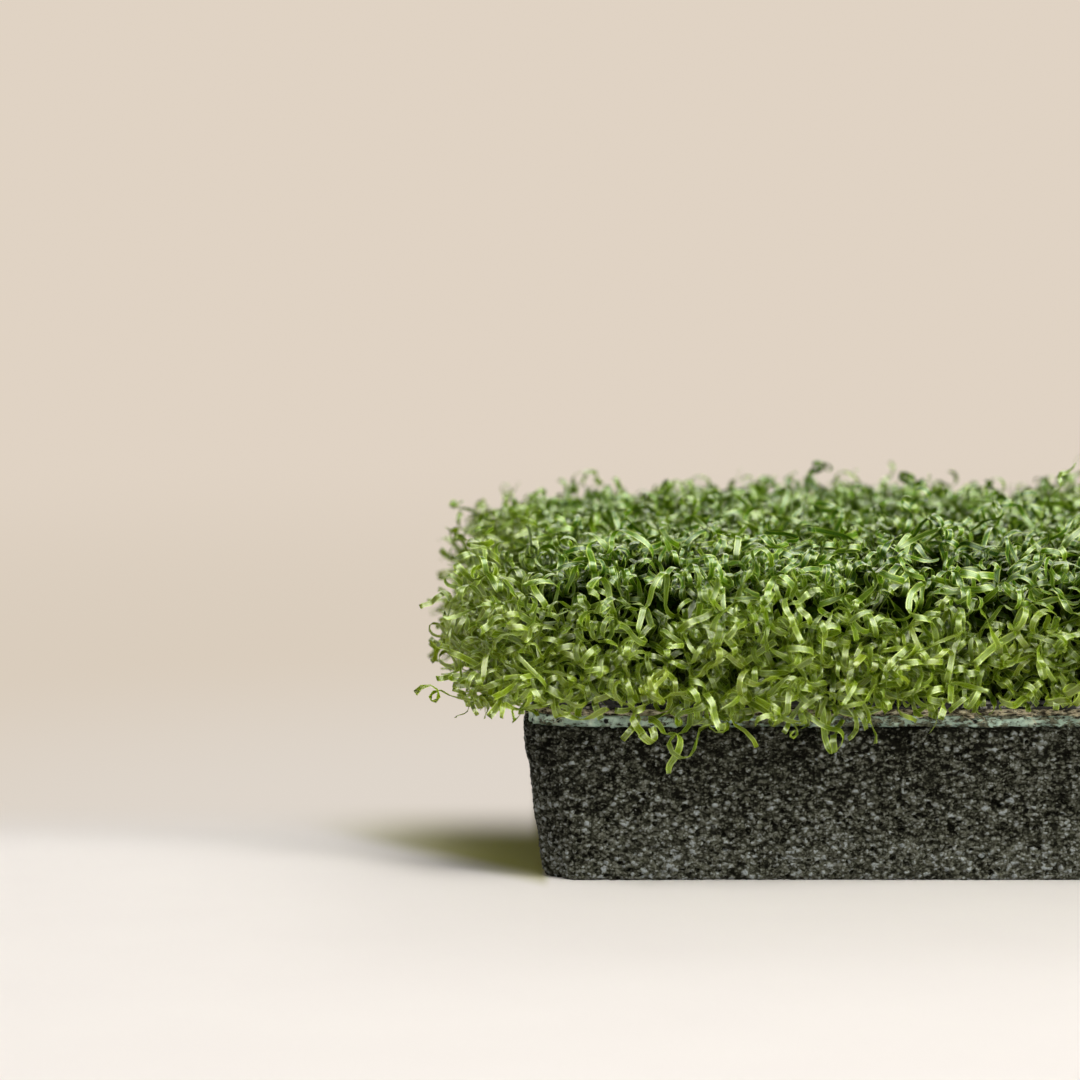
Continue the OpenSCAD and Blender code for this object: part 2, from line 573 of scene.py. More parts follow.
def foam_dents(flat):
    """For each point of the flat wall: how open it is, its cell's own number, and how far it swells out."""
    bend = np.stack([value_noise(flat, 0.8, FOAM_SEED + 4 + axis) for axis in range(3)], 1)
    squeezed = (flat + 0.25 * bend) * CELL_STRETCH
    first, second, owner = cell_noise(squeezed, FOAM_CELL, FOAM_SEED)
    opened = np.clip((second - first) / CELL_SKIN, 0, 1)
    depth = CELL_DEPTH + CELL_DEEPER * owner**1.5
    swell = 0.12 * value_noise(squeezed, 0.45, FOAM_SEED + 1)
    swell = swell + 0.20 * value_noise(flat * (0.35, 0.35, 1.0), 2.6, FOAM_SEED + 2)
    return opened, owner, swell - depth * opened


def foam_piece(material):
    """The foam pad. Its cut sides are opened cells, so the wall is a fine net pushed in at each cell."""
    centres, normals = perimeter(FOAM_NET)
    rows = round(FOAM_THICKNESS / FOAM_NET)
    share = np.linspace(0, 1, rows)[:, None]
    heights = FOAM_LOW[2] + share * FOAM_THICKNESS + np.zeros(len(centres))
    radii = CORNER_R - UNDERCUT * (1 - share) + np.zeros(len(centres))
    flat = band(centres, normals, radii, heights).reshape(-1, 3)
    opened, owner, dents = foam_dents(flat)
    from_top, from_foot = (1 - share) * FOAM_THICKNESS, share * FOAM_THICKNESS
    patchy = 0.75 + 0.45 * value_noise(flat, 5.0, FOAM_SEED + 5).reshape(rows, -1)
    dents = dents.reshape(rows, -1) - TOP_CHIP * np.exp(-from_top / TOP_CHIP_REACH) * patchy
    dents = dents - FOOT_ROUND * np.exp(-from_foot / FOOT_ROUND)
    in_corner = (2 * normals[:, 0] * normals[:, 1]) ** 2
    radii = radii + dents + FOAM_SWELL - FOOT_SETBACK * in_corner * (1 - share)
    wobble = value_noise(flat, 1.1, FOAM_SEED + 3).reshape(rows, -1)
    heights = heights + 0.16 * wobble * np.exp(-np.minimum(from_top, from_foot) / 0.6)
    heights[0] = FOAM_LOW[2]
    points = band(centres, normals, radii, heights).reshape(-1, 3)
    points[:, 2] = np.maximum(points[:, 2], FOAM_LOW[2])
    faces = skin_faces(rows, len(centres))
    piece = new_piece("foam_base_cells", points, faces, material, "foam_base", "foam")
    # How near the foot each point is, for the painted floor light, and how open its cell is, for the
    # painted shade.
    low = np.clip(1 - (flat[:, 2] - FOAM_LOW[2]) / FOAM_THICKNESS, 0, 1)
    point_numbers(piece, "cell", opened * (0.35 + 0.65 * owner), low, 0.0, 1.0)


# ---------------- adhesive, latex and cloth

# How far each layer's cut edge lies inside the foam's top edge
FILM_INSET = 0.90
LATEX_INSET = 1.08
CLOTH_INSET = 1.15
# The cut ends of the cloth's tapes
TAPE_PITCH = 1.14
TAPE_LAYERS = 2
TAPE_SEED = 44
CLOTH_NET = 0.20
CLOTH_ROWS = 9
THREAD_RINGS = 9
THREAD_LIGHT = 0.8


def ragged_layer(low, high, inset, ragged, spacing, rows, seed, sag):
    """Points and faces of a thin layer of the laminate with a ragged cut edge that sags in places."""
    centres, normals = perimeter(spacing)
    share = np.linspace(0, 1, rows)[:, None]
    heights = low + share * (high - low) + np.zeros(len(centres))
    radii = CORNER_R - inset + np.zeros(heights.shape)
    flat = band(centres, normals, radii, heights).reshape(-1, 3)
    rough = ragged * value_noise(flat * (1, 1, 1.5), 0.55, seed)
    rough = rough + 0.6 * ragged * value_noise(flat, 2.3, seed + 1)
    radii = radii + rough.reshape(rows, -1)
    droop = np.clip(value_noise(flat, 1.3, seed + 2).reshape(rows, -1) + 0.3, 0, 1)
    heights = heights - sag * droop * (1 - share)
    points = band(centres, normals, radii, heights).reshape(-1, 3)
    return points, skin_faces(rows, len(centres))


def woven_edge():
    """The cloth, with the cut ends of its tapes standing out of the edge in two staggered lines.

    Points, faces, and how pale each point is: a painted glint on the ends of some tapes.
    """
    low, high = CLOTH_LOW[2], CLOTH_TOP
    centres, normals = perimeter(CLOTH_NET)
    share = np.linspace(0, 1, CLOTH_ROWS)[:, None]
    heights = low + share * (high - low) + np.zeros(len(centres))
    line = np.clip((share * TAPE_LAYERS).astype(int), 0, TAPE_LAYERS - 1)
    place = run_round(centres, normals)[None, :] / TAPE_PITCH + 0.5 * line
    number = np.floor(place)
    u, v = 2 * (place - number) - 1, 2 * (share * TAPE_LAYERS - line) - 1
    own = hashed(np.stack([number, line + number * 0, number * 0], -1), TAPE_SEED)
    stub = np.clip(1.25 - np.abs(u) ** 3 * 1.3, 0, 1) * np.clip(1.2 - v**2, 0, 1)
    reach = -0.25 + 0.55 * own[..., 0] * (own[..., 1] > 0.15)
    radii = CORNER_R - CLOTH_INSET + stub * reach
    points = band(centres, normals, radii, heights).reshape(-1, 3)
    # A painted glint on the rounded cut ends of some tapes.
    tip = np.clip(stub * (own[..., 2] > 0.45) * 1.3 - 0.3, 0, 1) * (np.abs(u) < 0.75)
    return points, skin_faces(CLOTH_ROWS, len(centres)), tip.ravel()


def loose_threads(seed, count, low, high, inset, reach, radius):
    """Points and faces of thin threads that stand out of a layer's cut edge and hang a little."""
    rng = np.random.default_rng(seed)
    centres, normals = perimeter(0.5)
    chosen = rng.integers(0, len(centres), count)
    out = np.concatenate([normals[chosen], np.zeros((count, 1))], 1)[:, None, :]
    side = np.stack([-out[..., 1], out[..., 0], out[..., 2]], -1)
    share = np.linspace(0, 1, THREAD_RINGS)[None, :, None]
    length = rng.uniform(*reach, (count, 1, 1))
    wander = rng.normal(0, 0.7, (count, 1, 1))
    curl = rng.normal(0, 0.35, (count, 1, 1))
    turns = rng.uniform(2, 6, (count, 1, 1))
    droop = rng.uniform(-0.1, 0.7, (count, 1, 1))
    start = np.concatenate([centres[chosen], rng.uniform(low, high, (count, 1))], 1)[:, None, :]
    line = start + out * (CORNER_R - inset - 0.5 + share * (0.5 + length * (1 - 0.45 * share * droop)))
    line = line + side * length * (wander * share + curl * np.sin(share * turns) * share)
    line = line + UP * length * (0.25 * curl * np.cos(share * turns) * share - droop * share**2)
    angles = np.arange(3) * 2 * math.pi / 3
    spokes = side[..., None, :] * np.cos(angles)[:, None] + UP * np.sin(angles)[:, None]
    points = line[:, :, None, :] + spokes * radius * (1 - 0.5 * share[..., None])
    return points.reshape(-1, 3), tube_faces(count, THREAD_RINGS)


def tube_faces(count, rings):
    """Quads round each three-sided tube, and a triangle on each of its ends."""
    base = np.arange(count)[:, None, None] * rings * 3
    k = np.arange(rings - 1)[None, :, None] * 3
    c = np.arange(3)[None, None, :]
    a = base + k + c
    b = base + k + (c + 1) % 3
    quads = np.stack([a, b, b + 3, a + 3], -1).reshape(-1, 4)
    first = (base[:, 0, :] + np.arange(3)[::-1]).reshape(-1, 3)
    last = (base[:, 0, :] + (rings - 1) * 3 + np.arange(3)).reshape(-1, 3)
    return [quads, first, last]


def frayed_piece(name, skin, light, threads, material, node, slot):
    """One piece from a layer's skin and its loose threads. light is how pale the skin is at each point, on
    the cloth a painted glint on the tape ends.
    """
    points, faces = skin
    thread_points, thread_faces = threads
    faces = faces + [f + len(points) for f in thread_faces]
    piece = new_piece(name, np.concatenate([points, thread_points]), faces, material, node, slot)
    lights = np.full(len(points) + len(thread_points), THREAD_LIGHT)
    lights[: len(points)] = light
    point_numbers(piece, "stub", lights, 0.0, 0.0, 1.0)


def film_piece():
    low, high = FILM_LOW[2], FILM_HIGH[2]
    skin = ragged_layer(low, high, FILM_INSET, ragged=0.38, spacing=0.35, rows=7, seed=21, sag=0.6)
    new_piece("adhesive_film_edge", *skin, film_material(), "adhesive_film", "adhesive")


def latex_piece():
    low, high = LATEX_LOW[2], LATEX_HIGH[2]
    skin = ragged_layer(low, high, LATEX_INSET, ragged=0.45, spacing=0.30, rows=5, seed=31, sag=0.35)
    threads = loose_threads(32, 170, low, high, LATEX_INSET, reach=(0.8, 2.4), radius=0.06)
    cream = latex_material()
    frayed_piece("latex_coat_edge", skin, 0.0, threads, cream, "latex_coat", "latex")


def cloth_piece():
    *skin, tip_glints = woven_edge()
    low, high = CLOTH_LOW[2] + 0.1, CLOTH_TOP - 0.1
    threads = loose_threads(42, 240, low, high, CLOTH_INSET, reach=(0.6, 2.8), radius=0.05)
    black = cloth_material()
    frayed_piece("backing_cloth_edge", skin, tip_glints, threads, black, "backing_cloth", "woven_cloth")


# ---------------- pile: each ribbon's plan

ROW_SEED = 700
# Ribbons in a tuft: inside the mat, near its edge and at both ends of a row
TUFT_RIBBONS = 13
EDGE_TUFT_RIBBONS = 28
SIDE_TUFT_RIBBONS = 42
EDGE_TUFTS = 8.0
TUFT_RADIUS = 0.8
ROOT_DEPTH = 0.8
# Over this distance inwards the ribbons come to stand upright. They fan out round corners of FAN_RADIUS.
EDGE_REACH = 13.0
FAN_RADIUS = 14.0
# Lean at the root in degrees, of most ribbons and of those that lie, and how much it grows to the tip
FALL_START = 16.0
LYING_START = 74.0
FALL_GROWTH = 125.0
TUFT_DROOP = (0.35, 1.20)
LYING_SHARE = 0.34
UPRIGHT_SHARE = 0.35
# A ribbon's ceiling, measured from the top of the pile, and the share of an overshoot that is left
CAP_MEAN = -1.7
CEILING_GIVE = 0.80
RIBBON_LENGTH = 36.0
LENGTH_LIMITS = (24, 46)
# How far a ribbon may reach out of the mat and hang below the cloth before it is trimmed. The hang comes
# and goes in waves along the mat, and dies away near the corners.
TRIM_REACH = (8.0, 13.0)
TRIM_HANG = 10.5
HANG_WAVE = 24.0
HANG_SEED = 341
CORNER_HOLD = 18.0
CORNER_LIFT = 1.8
STRAY_SHARE = 0.02
STRAY_REACH = 3.0


def tuft_sizes(stitches, y):
    """How many ribbons each tuft of a row has."""
    inset, _, _ = outline_distance(stitches, np.full(len(stitches), y), TURF_INSET, CORNER_R)
    sizes = np.where(inset > -EDGE_TUFTS, EDGE_TUFT_RIBBONS, TUFT_RIBBONS)
    return np.where(np.abs(stitches) > FOAM_HIGH[0] - EDGE_TUFTS, SIDE_TUFT_RIBBONS, sizes)


def ribbon_roots(rng, x, y):
    """Where each ribbon starts, spread over its stitch hole, inside the cloth."""
    spin = rng.uniform(0, 2 * math.pi, x.shape)
    reach = TUFT_RADIUS * np.sqrt(rng.random(x.shape))
    depth = np.full(x.shape, CLOTH_TOP - ROOT_DEPTH)
    return np.hstack([x + reach * np.cos(spin), y + reach * np.sin(spin), depth])


def hang_limits(rng, roots, nx, ny, sizes):
    """How far below the cloth each ribbon may hang: in waves along the long sides, least at the corners."""
    from_corner = np.clip((FOAM_HIGH[0] - np.abs(roots[:, :1])) / CORNER_HOLD, 0, 1)
    wave = value_noise(roots * (1.0, 1.0, 0.0), HANG_WAVE, HANG_SEED)[:, None]
    wave = np.clip(0.55 + 0.75 * wave, 0.05, 1)
    share = 0.16 + 0.40 * nx**2 + 0.84 * np.abs(ny) ** 3 * from_corner * wave
    tuft = np.repeat(rng.random(len(sizes)) ** 0.8, sizes)[:, None]
    hang = TRIM_HANG * tuft * rng.uniform(0.4, 1.0, nx.shape) * share
    return hang - CORNER_LIFT * (1 - from_corner) * np.abs(ny) ** 3


def plan_ribbons(rng, stitches, y):
    """Where each ribbon of a row starts, and how it leans, hangs and ends, in columns: a line a ribbon."""
    sizes = tuft_sizes(stitches, y)
    column = (sizes.sum(), 1)
    droop = np.repeat(rng.uniform(*TUFT_DROOP, len(sizes)), sizes)[:, None] * rng.uniform(0.8, 1.2, column)
    sideways = np.repeat(rng.normal(0, 0.25, len(sizes)), sizes)[:, None]
    roots = ribbon_roots(rng, np.repeat(stitches, sizes)[:, None], y)
    inside, nx, ny = outline_distance(roots[:, :1], roots[:, 1:2], TURF_INSET, FAN_RADIUS)
    edge = np.clip(1 + inside / EDGE_REACH, 0, 1) ** 1.3
    beside = nx**2
    cap = CLOTH_TOP + PILE_HEIGHT * (1 - 0.05 * edge) + rng.normal(CAP_MEAN, 0.9, column)
    hang = hang_limits(rng, roots, nx, ny, sizes)
    stray = rng.random(column) < STRAY_SHARE
    cap = cap + stray * rng.uniform(1.0, 3.2, column)
    length = rng.normal(RIBBON_LENGTH, 4.0, column).clip(*LENGTH_LIMITS)
    length = length * (1 - 0.12 * edge * (1 - beside)) + stray * STRAY_REACH
    length = length * (1 + 0.60 * hang / TRIM_HANG)
    droop = droop * (1 + 0.80 * hang / TRIM_HANG)
    habit = rng.random(column)
    lying = (habit < LYING_SHARE + 0.16 * beside) * rng.uniform(0.4, 1.0, column)
    droop = droop * np.where(habit > 1 - UPRIGHT_SHARE, rng.uniform(0.15, 0.6, column), 1.0)
    start = FALL_START * rng.uniform(0.4, 2.2, column)
    start = start + (LYING_START - start) * lying
    outward = np.hstack([nx, ny, np.zeros(column)])
    outward = unit(outward + np.cross(UP, outward) * (sideways * edge))
    return SimpleNamespace(
        roots=roots, outward=outward, edge=edge, beside=beside, start=start, droop=droop,
        length=length, cap=cap, hang=hang, reach=STRAY_REACH * stray,
    )


# ---------------- pile: tracing the ribbons

STEPS = 130
# A ribbon is a row of runs of even curl, most of them tight and some loose. A turn is in radians.
RUNS = 26
TIGHT_BELOW = 0.62
LOOSE_ABOVE = 0.86
TIGHT_RADIUS = (0.60, 1.4)
MIDDLE_RADIUS = (1.4, 2.6)
LOOSE_RADIUS = (5, 12)
TIGHT_TURN = (1.2, 5.4)
MIDDLE_TURN = (0.6, 2.0)
LOOSE_ARC = (1.4, 3.6)
TWIST = 0.42
KINK_DEGREES = (35, 110)
KINK_SPREAD = (0.2, 0.4)
# Share of the runs that curl towards the aim, and how strongly every step steers there
TOWARDS = 0.80
STEER = 0.10
# Distances over which the cap, the cloth's top and its cut edge turn a ribbon away
CAP_SOFTNESS = 2.5
CLOTH_SOFTNESS = 0.9
EDGE_SOFTNESS = 1.2
# Where keep_clear() puts the points that still touch the laminate
ABOVE_CLOTH = 0.30
OUTSIDE_EDGE = 0.6


def kinks(rng, along, length):
    """One sharp bend somewhere on each ribbon, in radians per millimetre at each step."""
    place = rng.uniform(0.15, 1.0, length.shape) * length
    angle = np.radians(rng.uniform(*KINK_DEGREES, length.shape))
    angle = angle * np.where(rng.random(length.shape) < 0.5, -1, 1)
    spread = rng.uniform(*KINK_SPREAD, length.shape)
    return angle / (spread * math.sqrt(2 * math.pi)) * np.exp(-0.5 * ((along - place) / spread) ** 2)


def curl_runs(rng, length, edge):
    """For each step, in columns: whether a run of even curl starts there, and its curl, kink and twist.

    The last three are in radians per millimetre.
    """
    shape = (len(length), RUNS)
    kind = rng.random(shape)
    tight, loose = kind < TIGHT_BELOW, kind > LOOSE_ABOVE
    radius = np.where(tight, rng.uniform(*TIGHT_RADIUS, shape), rng.uniform(*MIDDLE_RADIUS, shape))
    radius = np.where(loose, rng.uniform(*LOOSE_RADIUS, shape), radius)
    arc = np.where(tight, rng.uniform(*TIGHT_TURN, shape), rng.uniform(*MIDDLE_TURN, shape)) * radius
    arc = np.where(loose, rng.uniform(*LOOSE_ARC, shape), arc)
    cuts = np.cumsum(arc, axis=1)
    along = (np.arange(STEPS) + 0.5) / STEPS * length
    run = (along[:, :, None] > cuts[:, None, :]).sum(2).clip(max=RUNS - 1)
    straight_foot = 1.5 + 5.0 * (1 - edge)
    curl = np.take_along_axis(1 / radius, run, 1) * np.clip((along - 1.0) / straight_foot, 0, 1)
    kink = kinks(rng, along, length)
    twist = np.take_along_axis(rng.normal(0, TWIST, shape), run, 1)
    starts = np.diff(run, axis=1, prepend=-1) != 0
    return [values.T[..., None] for values in (starts, curl, kink, twist)]


def under_cap(p, aim, cap, drift):
    """The aim, turned down and along drift where a ribbon comes near its cap."""
    over = np.clip((p[:, 2:] - cap + CAP_SOFTNESS) / CAP_SOFTNESS, 0, 1.5)
    return unit(aim * (1 - 0.8 * over.clip(max=1)) + (0.5 * drift - 0.8 * UP) * over)


def off_the_cloth(p, aim):
    """The aim, turned up from the cloth and away from its cut edge, and how firmly: from 0 to 1."""
    distance, nx, ny = outline_distance(p[:, :1], p[:, 1:2], 0.0, CORNER_R)
    z = p[:, 2:]
    low = np.clip((CLOTH_SOFTNESS - (z - CLOTH_TOP)) / CLOTH_SOFTNESS, 0, 1) * (distance < 0.3)
    push = np.clip((EDGE_SOFTNESS - distance) / EDGE_SOFTNESS, 0, 1)
    push = push * (z < CLOTH_TOP + 0.6) * (distance > -1.5)
    away = np.hstack([nx, ny, np.zeros_like(nx)])
    hard = np.clip(low + push, 0, 1)
    return unit(aim * (1 - hard) + (UP * 0.8 * low + away * push * 1.5)), hard


def grow(rng, r):
    """Traces each ribbon from its root: its middle line, width direction and bend at each step."""
    column = r.length.shape
    runs = curl_runs(rng, r.length, r.edge)
    step = r.length / STEPS
    stray = level(rng.uniform(0, 2 * math.pi, column)) * rng.uniform(0.05, 0.42, column)
    drift = level(rng.uniform(0, 2 * math.pi, column))
    p = r.roots
    t = unit(turned(UP, r.outward, np.radians(r.start) * r.edge) + stray * 0.6)
    w = unit(np.cross(t, rng.normal(0, 1, p.shape)))
    side = np.ones(column)
    line, widths, bends = [p], [w], []
    for k, (starts, curl, kink, twist) in enumerate(zip(*runs)):
        share = k / STEPS
        fall = r.start + FALL_GROWTH * r.droop * share**0.8 * (0.35 + 0.65 * r.edge)
        aim = turned(UP, r.outward, np.radians(fall) * r.edge) + stray * (0.5 + share)
        aim, hard = off_the_cloth(p, under_cap(p, aim, r.cap, drift))
        n = np.cross(w, t)
        along_n, along_w = dot(n, aim), dot(w, aim)
        chosen = np.where(along_n >= 0, 1.0, -1.0) * np.where(rng.random(column) < TOWARDS, 1, -1)
        side = np.where(starts, chosen, side)
        bend = side * curl * (1 - 0.3 * hard) + kink + (STEER + 0.35 * hard) * along_n
        roll = (twist + 0.25 * along_w * along_n) * step
        t = turned(t, n, bend * step)
        t = unit(t + (0.05 + 0.5 * hard) * step * (aim - t * dot(t, aim)))
        w = unit(w - t * dot(w, t))
        w = turned(w, -np.cross(w, t), roll)
        p = p + t * step
        line.append(p)
        widths.append(w)
        bends.append(bend)
    return np.stack(line, 1), np.stack(widths, 1), np.hstack(bends)


def keep_clear(line):
    """Moves the points that would touch the cloth, the layers or the foam just outside them."""
    x, y, z = line[..., 0], line[..., 1], line[..., 2]
    distance, nx, ny = outline_distance(x, y, 0.0, CORNER_R)
    floor = CLOTH_TOP + ABOVE_CLOTH
    inside = (distance < 0.55) & (z < floor)
    sideways = inside & (z < floor - 0.5) & (distance > -3.0)
    lift = inside & ~sideways
    past_root = np.arange(line.shape[1])[None, :] > 3
    shift = np.where(sideways & past_root, OUTSIDE_EDGE - distance, 0)
    line[..., 0] = x + nx * shift
    line[..., 1] = y + ny * shift
    line[..., 2] = np.where(lift & past_root, floor, z)
    return line


def trace(rng, r):
    """The ribbons of grow(), drawn down towards their cap and moved clear of the laminate."""
    line, widths, bend = grow(rng, r)
    over = line[..., 2] - r.cap
    line[..., 2] -= (1 - CEILING_GIVE) * np.maximum(over, 0)
    return keep_clear(line), widths, bend


# ---------------- pile: meshes

RINGS = 38
RIBBON_WIDTH = 0.86
RIBBON_BOW = 0.07
# Where a ring's three points lie across the ribbon
ACROSS = np.array([0.0, 0.5, 1.0])
# The pile's shoulder drops by this much at the edge of the mat, and light reaches this deep into the pile
SHOULDER_DROP = 3.6
LIGHT_REACH = 8.0


def openness(line):
    """How open to the light each point of the pile is: 0 deep inside, 1 outside."""
    outer, _, _ = outline_distance(line[..., 0], line[..., 1], 0.0, CORNER_R)
    shoulder = SHOULDER_DROP * np.clip(1 + outer / EDGE_REACH, 0, 1)
    depth = np.maximum(PILE_TOP + CAP_MEAN + 1.0 - shoulder - line[..., 2], 0)
    bulge = 1.0 + 3.4 * np.clip(1 - depth / PILE_HEIGHT, 0, 1)
    inner = np.minimum(depth * 1.8, bulge - outer)
    return 1 - np.clip(inner / LIGHT_REACH, 0, 1)


def painted_warm_light(line, beside):
    """How much painted warm light a point gets: most low on the outside of the pile and at the ends of the
    mat.
    """
    outer, _, _ = outline_distance(line[..., 0], line[..., 1], 0.0, CORNER_R)
    depth = np.clip((PILE_TOP - line[..., 2]) / PILE_HEIGHT, 0, 1)
    return np.clip((outer + 5) / 7, 0, 1) * (np.clip(depth * 1.6, 0, 1) + 0.5 * beside)


def trimmed_ends(rng, line, r):
    """Last step of each ribbon: it is trimmed where it first reaches or hangs too far out of the mat."""
    outer, _, _ = outline_distance(line[..., 0], line[..., 1], 0.0, CORNER_R)
    reach = rng.uniform(*TRIM_REACH, r.reach.shape) + r.reach
    past = (outer > reach) | ((line[..., 2] < CLOTH_TOP - r.hang) & (outer > 0))
    return np.where(past.any(1), past.argmax(1), STEPS).clip(min=STEPS // 4)


def ring_steps(line, bend, length, ends):
    """Places of the rings along each ribbon, in steps: close together in bends that can be seen."""
    weight = length / STEPS * (0.30 + np.minimum(np.abs(bend), 1.6)) * (0.3 + 0.7 * openness(line[:, 1:]))
    total = np.concatenate([np.zeros(length.shape), np.cumsum(weight, 1)], 1)
    wanted = np.linspace(0, 1, RINGS) * total[np.arange(len(ends)), ends][:, None]
    return np.stack([np.interp(w, row, np.arange(STEPS + 1)) for w, row in zip(wanted, total)])


def at_steps(values, places):
    """Values at fractional steps."""
    low = np.floor(places).astype(int).clip(0, STEPS - 1)
    part = (places - low)[..., None]
    a = np.take_along_axis(values, low[..., None], 1)
    b = np.take_along_axis(values, low[..., None] + 1, 1)
    return a + (b - a) * part


def ribbon_points(line, widths, half_width, bow):
    """Three points a ring: both borders, and the middle of the bowed face. The other face is flat."""
    t = unit(np.gradient(line, axis=1))
    w = unit(widths - t * dot(widths, t))
    n = np.cross(w, t)
    half = w * half_width[..., None]
    return np.stack([line - half, line + n * bow[..., None], line + half], 2)


def sharpen_borders(mesh):
    """Marks the two borders of every ribbon sharp, so that its faces meet there in a crisp line."""
    pairs = np.empty(len(mesh.edges) * 2, np.int32)
    mesh.edges.foreach_get("vertices", pairs)
    spoke = pairs.reshape(-1, 2) % 3
    border = (spoke[:, 0] == spoke[:, 1]) & (spoke[:, 0] != 1)
    layer = mesh.attributes.new("sharp_edge", "BOOLEAN", "EDGE")
    layer.data.foreach_set("value", border)


def yarn_row(index, node, material):
    """One yarn: the tufts of one row, each a bunch of curly ribbons."""
    rng = np.random.default_rng(ROW_SEED + index)
    y, half_run = run_of(node)
    last = math.floor(half_run / STITCH_PITCH)
    r = plan_ribbons(rng, np.arange(-last, last + 1) * STITCH_PITCH, y)
    line, widths, bend = trace(rng, r)
    places = ring_steps(line, bend, r.length, trimmed_ends(rng, line, r))
    line, widths = at_steps(line, places), at_steps(widths, places)
    column = r.length.shape
    half_width = RIBBON_WIDTH / 2 * (0.50 + 0.58 * rng.beta(2.0, 1.8, column))
    bow = RIBBON_BOW * rng.uniform(0.6, 1.3, column)
    points = ribbon_points(line, widths, half_width, bow).reshape(-1, 3)
    piece = new_piece(node + "_pile", points, tube_faces(len(line), RINGS), material, node, "pile_yarn")
    sharpen_borders(piece.data)
    tone = rng.beta(2.2, 2.2, column)[..., None]
    painted_warmth = painted_warm_light(line, r.beside)[..., None]
    point_numbers(piece, "fibre_and_painted_light", tone, openness(line)[..., None], ACROSS, painted_warmth)
    along = (places / STEPS * r.length)[..., None]
    phase, hue = rng.random(column)[..., None], rng.random(column)[..., None]
    point_numbers(piece, "strand", along, phase, hue, np.ones(len(ACROSS)))


# ---------------- floor and surroundings

WALL_COLOUR = (0.745, 0.650, 0.550)
WALL_FOOT = (0.700, 0.610, 0.508)
FLOOR_BEHIND = (0.735, 0.668, 0.595)
FLOOR_COLOURS = ((0.84, 0.80, 0.78), (0.87, 0.835, 0.81))
GREEN_SHADE = (0.39, 0.37, 0.090)
ROOM_COLOUR = (1.0, 0.97, 0.93)
WALL_SIDE = (-0.35, 0.92, 0.15)
WALL_LIGHT = 0.32
ROOM_LIGHT = 0.22
GLOSSY_ROOM = 0.04
# Depths behind the mat's front left corner between which the floor turns as light as the wall
SHADE_DEPTH = (28.0, 64.0)
# The green shade begins at a line through that corner, square to this direction
KEY_EDGE = (0.80, 0.60, 0.0)
# In metres
FLOOR_HALF = 8.0
FLOOR_DROP = 0.00002


def shade_masks(n, place):
    """Where the floor is as light as the wall, and where it lies in the mat's own green shade.

    The first lies left of the mat and spreads behind it; the second lies against its left side.
    """
    corner = n.vector("ADD", place, (-FOAM_LOW[0], -FOAM_LOW[1], 0.0))
    behind = n.along(corner, (0.0, 1.0, 0.0))
    left = n.along(corner, (-1.0, 0.0, 0.0))
    past_mat = n.math("MAXIMUM", n.math("SUBTRACT", behind, FOAM_HIGH[1] - FOAM_LOW[1]), 0.0)
    spread = n.scaled(past_mat, -2.0, -2.5)
    lit = n.math("MULTIPLY", n.step(behind, *SHADE_DEPTH), n.step(left, spread, -0.5))
    dark = n.math("MULTIPLY", n.step(n.along(corner, KEY_EDGE), -0.5, 8.0), n.step(left, 34.0, 2.0))
    dark = n.math("MULTIPLY", dark, n.step(behind, 100.0, 70.0))
    return lit, n.math("MULTIPLY", dark, n.step(left, -3.5, -2.0))


def floor_material():
    """Near-white floor. Far off, and where shade_masks() says, the camera sees it as plain beige."""
    n = Surface("floor")
    place = n.place()
    away = n.add("VectorMath", {0: n.vector("ADD", place, (20.0, 50.0, 0.0))}, operation="LENGTH")
    away = away.outputs["Value"]
    clear, green = shade_masks(n, place)
    colour = n.mix(n.noise(place, 0.05, detail=3.0), *FLOOR_COLOURS)
    n.finish(n.mix(green, colour, GREEN_SHADE), 0.9, 0.1)
    glow = n.mix(n.step(away, 100.0, 250.0), FLOOR_BEHIND, WALL_FOOT)
    glow = n.mix(n.step(away, 250.0, 650.0), glow, WALL_COLOUR)
    seen = n.add("LightPath").outputs["Is Camera Ray"]
    far = n.math("MAXIMUM", n.step(away, 150.0, 250.0), clear)
    n.mix_in(n.math("MULTIPLY", far, seen), n.add("Emission", {"Color": glow}))
    return n.material


def floor():
    """A wide square just under the mat."""
    mesh = bpy.data.meshes.new("floor")
    corners = [(x * FLOOR_HALF, y * FLOOR_HALF, 0) for x, y in ((-1, -1), (1, -1), (1, 1), (-1, 1))]
    mesh.from_pydata(corners, [], [(0, 1, 2, 3)])
    mesh.materials.append(floor_material())
    plane = bpy.data.objects.new("floor", mesh)
    plane.location.z = -FLOOR_DROP
    bpy.context.scene.collection.objects.link(plane)


def world():
    """Soft surroundings, brighter behind the mat, dim in reflections; the camera sees plain warm beige."""
    studio = bpy.data.worlds.new("studio")
    bpy.context.scene.world = studio
    studio.use_nodes = True
    n = Nodes(studio.node_tree)
    n.tree.nodes.clear()
    toward = n.along(n.add("TexCoord").outputs["Generated"], WALL_SIDE)
    light = n.step(toward, -0.2, 0.8, ROOM_LIGHT, WALL_LIGHT)
    rays = n.add("LightPath").outputs
    light = n.math("MULTIPLY", light, n.scaled(rays["Is Glossy Ray"], GLOSSY_ROOM - 1.0, 1.0))
    room = n.add("Background", {"Color": ROOM_COLOUR, "Strength": light})
    seen = n.add("Background", {"Color": WALL_COLOUR})
    mixed = n.add("MixShader", {0: rays["Is Camera Ray"], 1: room.outputs[0], 2: seen.outputs[0]})
    n.add("OutputWorld", {"Surface": mixed.outputs[0]})


# ---------------- lights and camera

SHINE_COLOUR = (1.0, 0.97, 0.90)
LENS = 100
SENSOR_WIDTH = 24
F_STOP = 17
CAMERA_DISTANCE = 536.0
CAMERA_HEIGHT = 95.0
CAMERA_PITCH = 5.68
CAMERA_RIGHT_OF_END = 2.0


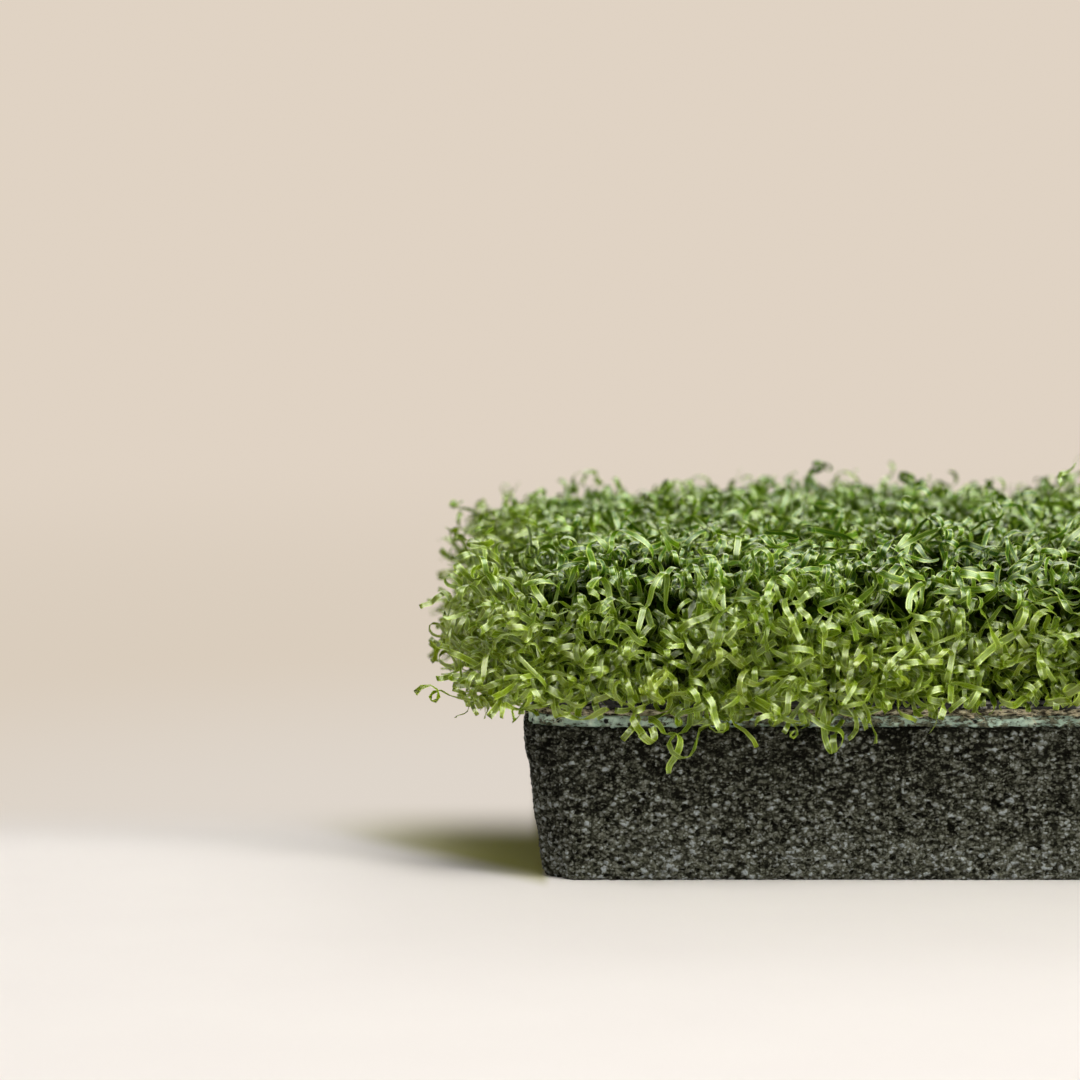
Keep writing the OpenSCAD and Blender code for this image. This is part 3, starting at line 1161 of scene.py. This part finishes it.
def softbox(name, azimuth, elevation, distance, size, watts, colour):
    """An area light aimed at the mat, in metres. Azimuth is from +X towards the camera side."""
    lamp = bpy.data.lights.new(name, "AREA")
    lamp.shape = "RECTANGLE"
    lamp.size, lamp.size_y = size
    lamp.energy = watts
    lamp.color = colour
    a, e = math.radians(azimuth), math.radians(elevation)
    back = Vector((math.cos(a) * math.cos(e), -math.sin(a) * math.cos(e), math.sin(e)))
    o = bpy.data.objects.new(name, lamp)
    o.location = back * distance
    o.rotation_mode = "QUATERNION"
    o.rotation_quaternion = back.to_track_quat("Z", "Y")
    bpy.context.scene.collection.objects.link(o)
    o.visible_glossy = False
    return o


def shine(name, azimuth, elevation, distance, size, brightness):
    """A large bright panel that is seen only in glossy reflections."""
    watts = brightness * math.pi * size[0] * size[1]
    lamp = softbox(name, azimuth, elevation, distance, size, watts, SHINE_COLOUR)
    lamp.visible_glossy = True
    lamp.visible_diffuse = False
    lamp.visible_transmission = False


def lights():
    softbox("key", 34, 16, distance=1.6, size=(0.40, 0.20), watts=19.0, colour=(1.0, 0.97, 0.93))
    softbox("window", 78, 62, distance=1.2, size=(0.60, 0.40), watts=8.0, colour=(1.0, 0.98, 0.94))
    softbox("behind", -70, 38, distance=1.4, size=(0.70, 0.40), watts=2.5, colour=(1.0, 1.0, 0.97))
    shine("shine_front", 84, 50, distance=1.3, size=(2.60, 1.70), brightness=8.7)
    shine("shine_behind", -84, 34, distance=1.5, size=(1.50, 0.80), brightness=4.0)
    shine("shine_left", 165, 38, distance=1.5, size=(0.90, 0.60), brightness=2.5)
    shine("shine_right", 12, 38, distance=1.5, size=(0.90, 0.60), brightness=5.0)


def camera():
    """In line with the left end of the mat, looking along its left side and slightly down."""
    data = bpy.data.cameras.new("camera")
    data.lens = LENS
    data.sensor_width = SENSOR_WIDTH
    data.clip_start, data.clip_end = 0.01, 50
    x, y = FOAM_LOW[0] + CAMERA_RIGHT_OF_END, FOAM_LOW[1] - CAMERA_DISTANCE
    o = bpy.data.objects.new("camera", data)
    o.location = Vector((x, y, CAMERA_HEIGHT)) * MM
    o.rotation_euler = (math.radians(90 - CAMERA_PITCH), 0, 0)
    bpy.context.scene.collection.objects.link(o)
    focus = bpy.data.objects.new("focus_point", None)
    focus.location = Vector((x + 20, FOAM_LOW[1] + 4, PILE_TOP - 10)) * MM
    bpy.context.scene.collection.objects.link(focus)
    data.dof.use_dof = True
    data.dof.focus_object = focus
    data.dof.aperture_fstop = F_STOP
    bpy.context.scene.camera = o


# ---------------- build

foam_piece(foam_material())
film_piece()
latex_piece()
cloth_piece()
ribbon = pile_material()
for number, row_node in enumerate(ROW_NODES):
    yarn_row(number, row_node, ribbon)
floor()
world()
lights()
camera()

settings = bpy.context.scene.view_settings
settings.view_transform = "Standard"
settings.look = "None"
